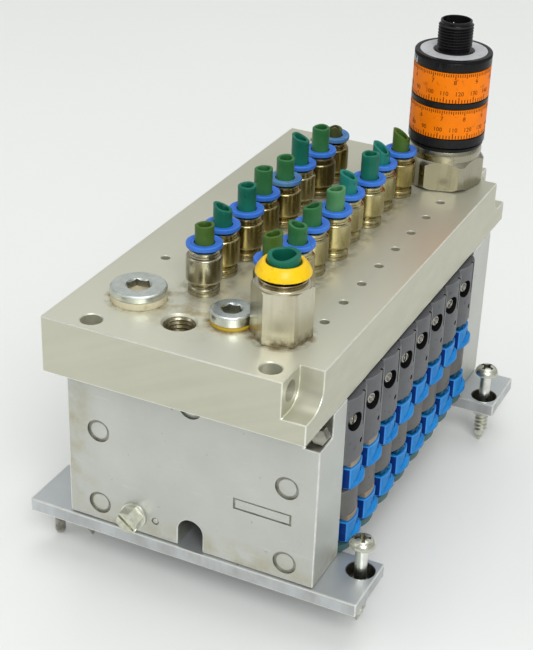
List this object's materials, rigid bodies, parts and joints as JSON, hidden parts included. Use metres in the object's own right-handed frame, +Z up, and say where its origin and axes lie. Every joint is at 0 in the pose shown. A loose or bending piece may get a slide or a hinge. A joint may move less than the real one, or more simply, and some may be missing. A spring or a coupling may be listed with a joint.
{
  "type": "solenoid directional valve",
  "caption": "Valve terminal: solenoid directional valve slices side by side between end plates, under a port plate with push-in fittings, plugs and a pressure switch.",
  "frame": {"origin": "middle of the bounding box in plan, in the plane on which the points of the mounting screws and studs stand", "axes": "+X towards the manual overrides, +Y along the row of slices towards the pressure switch, +Z up"},
  "size_m": [0.1148, 0.173, 0.1539],
  "materials": {
    "plate_aluminium": "satin, fine brushing",
    "cast_aluminium": "satin casting",
    "bar_aluminium": "satin, worn",
    "slice_plastic": "fine grain",
    "override_plastic": "satin",
    "spool_steel": "ground",
    "nickel_brass": "nickel plated, stained",
    "collar_blue": "satin",
    "collar_yellow": "slightly worn",
    "sensor_black": "satin",
    "scale_orange": "printed",
    "zinc_steel": "zinc plated"
  },
  "bodies": {
    "terminal": {"port_plate": "plate_aluminium", "end_plate_front": "cast_aluminium", "end_plate_rear": "cast_aluminium", "mounting_bar_front": "bar_aluminium", "mounting_bar_rear": "bar_aluminium", "port_fittings": "nickel_brass", "sensor_body": "sensor_black", "valve_slice_1": "slice_plastic", "valve_slice_2": "slice_plastic", "valve_slice_3": "slice_plastic", "valve_slice_4": "slice_plastic", "valve_slice_5": "slice_plastic", "valve_slice_6": "slice_plastic", "valve_slice_7": "slice_plastic", "valve_slice_8": "slice_plastic"},
    "mounting_screw_front": {"mounting_screw_front": "zinc_steel"},
    "mounting_screw_rear": {"mounting_screw_rear": "zinc_steel"},
    "spool_1": {"spool_1": "spool_steel"},
    "spool_2": {"spool_2": "spool_steel"},
    "spool_3": {"spool_3": "spool_steel"},
    "spool_4": {"spool_4": "spool_steel"},
    "spool_5": {"spool_5": "spool_steel"},
    "spool_6": {"spool_6": "spool_steel"},
    "spool_7": {"spool_7": "spool_steel"},
    "spool_8": {"spool_8": "spool_steel"},
    "override_upper_1": {"override_upper_1": "override_plastic"},
    "override_upper_2": {"override_upper_2": "override_plastic"},
    "override_upper_3": {"override_upper_3": "override_plastic"},
    "override_upper_4": {"override_upper_4": "override_plastic"},
    "override_upper_5": {"override_upper_5": "override_plastic"},
    "override_upper_6": {"override_upper_6": "override_plastic"},
    "override_upper_7": {"override_upper_7": "override_plastic"},
    "override_upper_8": {"override_upper_8": "override_plastic"},
    "override_lower_1": {"override_lower_1": "override_plastic"},
    "override_lower_2": {"override_lower_2": "override_plastic"},
    "override_lower_3": {"override_lower_3": "override_plastic"},
    "override_lower_4": {"override_lower_4": "override_plastic"},
    "override_lower_5": {"override_lower_5": "override_plastic"},
    "override_lower_6": {"override_lower_6": "override_plastic"},
    "override_lower_7": {"override_lower_7": "override_plastic"},
    "override_lower_8": {"override_lower_8": "override_plastic"},
    "release_collar_left_1": {"release_collar_left_1": "collar_blue"},
    "release_collar_left_2": {"release_collar_left_2": "collar_blue"},
    "release_collar_left_3": {"release_collar_left_3": "collar_blue"},
    "release_collar_left_4": {"release_collar_left_4": "collar_blue"},
    "release_collar_left_5": {"release_collar_left_5": "collar_blue"},
    "release_collar_left_6": {"release_collar_left_6": "collar_blue"},
    "release_collar_left_7": {"release_collar_left_7": "collar_blue"},
    "release_collar_left_8": {"release_collar_left_8": "collar_blue"},
    "release_collar_right_1": {"release_collar_right_1": "collar_blue"},
    "release_collar_right_2": {"release_collar_right_2": "collar_blue"},
    "release_collar_right_3": {"release_collar_right_3": "collar_blue"},
    "release_collar_right_4": {"release_collar_right_4": "collar_blue"},
    "release_collar_right_5": {"release_collar_right_5": "collar_blue"},
    "release_collar_right_6": {"release_collar_right_6": "collar_blue"},
    "release_collar_right_7": {"release_collar_right_7": "collar_blue"},
    "release_collar_right_8": {"release_collar_right_8": "collar_blue"},
    "release_collar_large": {"release_collar_large": "collar_yellow"},
    "sensor_set_ring": {"sensor_set_ring": "scale_orange"},
    "sensor_reset_ring": {"sensor_reset_ring": "scale_orange"}
  },
  "joints": [
    {"name": "mounting_screw_front_slide", "type": "slide", "parent": "terminal", "child": "mounting_screw_front", "axis": [0, 0, -1], "range_m": [0, 0.0133]},
    {"name": "mounting_screw_rear_slide", "type": "slide", "parent": "terminal", "child": "mounting_screw_rear", "axis": [0, 0, -1], "range_m": [0, 0.0133]},
    {"name": "spool_1_slide", "type": "slide", "parent": "terminal", "child": "spool_1", "axis": [1, 0, 0], "range_m": [0, 0.003]},
    {"name": "spool_2_slide", "type": "slide", "parent": "terminal", "child": "spool_2", "axis": [1, 0, 0], "range_m": [0, 0.003]},
    {"name": "spool_3_slide", "type": "slide", "parent": "terminal", "child": "spool_3", "axis": [1, 0, 0], "range_m": [0, 0.003]},
    {"name": "spool_4_slide", "type": "slide", "parent": "terminal", "child": "spool_4", "axis": [1, 0, 0], "range_m": [0, 0.003]},
    {"name": "spool_5_slide", "type": "slide", "parent": "terminal", "child": "spool_5", "axis": [1, 0, 0], "range_m": [0, 0.003]},
    {"name": "spool_6_slide", "type": "slide", "parent": "terminal", "child": "spool_6", "axis": [1, 0, 0], "range_m": [0, 0.003]},
    {"name": "spool_7_slide", "type": "slide", "parent": "terminal", "child": "spool_7", "axis": [1, 0, 0], "range_m": [0, 0.003]},
    {"name": "spool_8_slide", "type": "slide", "parent": "terminal", "child": "spool_8", "axis": [1, 0, 0], "range_m": [0, 0.003]},
    {"name": "override_upper_1_press", "type": "slide", "parent": "terminal", "child": "override_upper_1", "axis": [-1, 0, 0], "range_m": [0, 0.0012], "stiffness_N_per_m": 1500},
    {"name": "override_upper_2_press", "type": "slide", "parent": "terminal", "child": "override_upper_2", "axis": [-1, 0, 0], "range_m": [0, 0.0012], "stiffness_N_per_m": 1500},
    {"name": "override_upper_3_press", "type": "slide", "parent": "terminal", "child": "override_upper_3", "axis": [-1, 0, 0], "range_m": [0, 0.0012], "stiffness_N_per_m": 1500},
    {"name": "override_upper_4_press", "type": "slide", "parent": "terminal", "child": "override_upper_4", "axis": [-1, 0, 0], "range_m": [0, 0.0012], "stiffness_N_per_m": 1500},
    {"name": "override_upper_5_press", "type": "slide", "parent": "terminal", "child": "override_upper_5", "axis": [-1, 0, 0], "range_m": [0, 0.0012], "stiffness_N_per_m": 1500},
    {"name": "override_upper_6_press", "type": "slide", "parent": "terminal", "child": "override_upper_6", "axis": [-1, 0, 0], "range_m": [0, 0.0012], "stiffness_N_per_m": 1500},
    {"name": "override_upper_7_press", "type": "slide", "parent": "terminal", "child": "override_upper_7", "axis": [-1, 0, 0], "range_m": [0, 0.0012], "stiffness_N_per_m": 1500},
    {"name": "override_upper_8_press", "type": "slide", "parent": "terminal", "child": "override_upper_8", "axis": [-1, 0, 0], "range_m": [0, 0.0012], "stiffness_N_per_m": 1500},
    {"name": "override_lower_1_press", "type": "slide", "parent": "terminal", "child": "override_lower_1", "axis": [-1, 0, 0], "range_m": [0, 0.0012], "stiffness_N_per_m": 1500},
    {"name": "override_lower_2_press", "type": "slide", "parent": "terminal", "child": "override_lower_2", "axis": [-1, 0, 0], "range_m": [0, 0.0012], "stiffness_N_per_m": 1500},
    {"name": "override_lower_3_press", "type": "slide", "parent": "terminal", "child": "override_lower_3", "axis": [-1, 0, 0], "range_m": [0, 0.0012], "stiffness_N_per_m": 1500},
    {"name": "override_lower_4_press", "type": "slide", "parent": "terminal", "child": "override_lower_4", "axis": [-1, 0, 0], "range_m": [0, 0.0012], "stiffness_N_per_m": 1500},
    {"name": "override_lower_5_press", "type": "slide", "parent": "terminal", "child": "override_lower_5", "axis": [-1, 0, 0], "range_m": [0, 0.0012], "stiffness_N_per_m": 1500},
    {"name": "override_lower_6_press", "type": "slide", "parent": "terminal", "child": "override_lower_6", "axis": [-1, 0, 0], "range_m": [0, 0.0012], "stiffness_N_per_m": 1500},
    {"name": "override_lower_7_press", "type": "slide", "parent": "terminal", "child": "override_lower_7", "axis": [-1, 0, 0], "range_m": [0, 0.0012], "stiffness_N_per_m": 1500},
    {"name": "override_lower_8_press", "type": "slide", "parent": "terminal", "child": "override_lower_8", "axis": [-1, 0, 0], "range_m": [0, 0.0012], "stiffness_N_per_m": 1500},
    {"name": "release_collar_left_1_press", "type": "slide", "parent": "terminal", "child": "release_collar_left_1", "axis": [0, 0, -1], "range_m": [0, 0.0008], "stiffness_N_per_m": 2000},
    {"name": "release_collar_left_2_press", "type": "slide", "parent": "terminal", "child": "release_collar_left_2", "axis": [0, 0, -1], "range_m": [0, 0.0008], "stiffness_N_per_m": 2000},
    {"name": "release_collar_left_3_press", "type": "slide", "parent": "terminal", "child": "release_collar_left_3", "axis": [0, 0, -1], "range_m": [0, 0.0008], "stiffness_N_per_m": 2000},
    {"name": "release_collar_left_4_press", "type": "slide", "parent": "terminal", "child": "release_collar_left_4", "axis": [0, 0, -1], "range_m": [0, 0.0008], "stiffness_N_per_m": 2000},
    {"name": "release_collar_left_5_press", "type": "slide", "parent": "terminal", "child": "release_collar_left_5", "axis": [0, 0, -1], "range_m": [0, 0.0008], "stiffness_N_per_m": 2000},
    {"name": "release_collar_left_6_press", "type": "slide", "parent": "terminal", "child": "release_collar_left_6", "axis": [0, 0, -1], "range_m": [0, 0.0008], "stiffness_N_per_m": 2000},
    {"name": "release_collar_left_7_press", "type": "slide", "parent": "terminal", "child": "release_collar_left_7", "axis": [0, 0, -1], "range_m": [0, 0.0008], "stiffness_N_per_m": 2000},
    {"name": "release_collar_left_8_press", "type": "slide", "parent": "terminal", "child": "release_collar_left_8", "axis": [0, 0, -1], "range_m": [0, 0.0008], "stiffness_N_per_m": 2000},
    {"name": "release_collar_right_1_press", "type": "slide", "parent": "terminal", "child": "release_collar_right_1", "axis": [0, 0, -1], "range_m": [0, 0.0008], "stiffness_N_per_m": 2000},
    {"name": "release_collar_right_2_press", "type": "slide", "parent": "terminal", "child": "release_collar_right_2", "axis": [0, 0, -1], "range_m": [0, 0.0008], "stiffness_N_per_m": 2000},
    {"name": "release_collar_right_3_press", "type": "slide", "parent": "terminal", "child": "release_collar_right_3", "axis": [0, 0, -1], "range_m": [0, 0.0008], "stiffness_N_per_m": 2000},
    {"name": "release_collar_right_4_press", "type": "slide", "parent": "terminal", "child": "release_collar_right_4", "axis": [0, 0, -1], "range_m": [0, 0.0008], "stiffness_N_per_m": 2000},
    {"name": "release_collar_right_5_press", "type": "slide", "parent": "terminal", "child": "release_collar_right_5", "axis": [0, 0, -1], "range_m": [0, 0.0008], "stiffness_N_per_m": 2000},
    {"name": "release_collar_right_6_press", "type": "slide", "parent": "terminal", "child": "release_collar_right_6", "axis": [0, 0, -1], "range_m": [0, 0.0008], "stiffness_N_per_m": 2000},
    {"name": "release_collar_right_7_press", "type": "slide", "parent": "terminal", "child": "release_collar_right_7", "axis": [0, 0, -1], "range_m": [0, 0.0008], "stiffness_N_per_m": 2000},
    {"name": "release_collar_right_8_press", "type": "slide", "parent": "terminal", "child": "release_collar_right_8", "axis": [0, 0, -1], "range_m": [0, 0.0008], "stiffness_N_per_m": 2000},
    {"name": "release_collar_large_press", "type": "slide", "parent": "terminal", "child": "release_collar_large", "axis": [0, 0, -1], "range_m": [0, 0.0009], "stiffness_N_per_m": 3000},
    {"name": "sensor_set_ring_turn", "type": "hinge", "parent": "terminal", "child": "sensor_set_ring", "pos_m": [0.0242, 0.0694, 0.1338], "axis": [0, 0, 1], "range_deg": [-140, 140]},
    {"name": "sensor_reset_ring_turn", "type": "hinge", "parent": "terminal", "child": "sensor_reset_ring", "pos_m": [0.0242, 0.0694, 0.1208], "axis": [0, 0, 1], "range_deg": [-140, 140]}
  ]
}
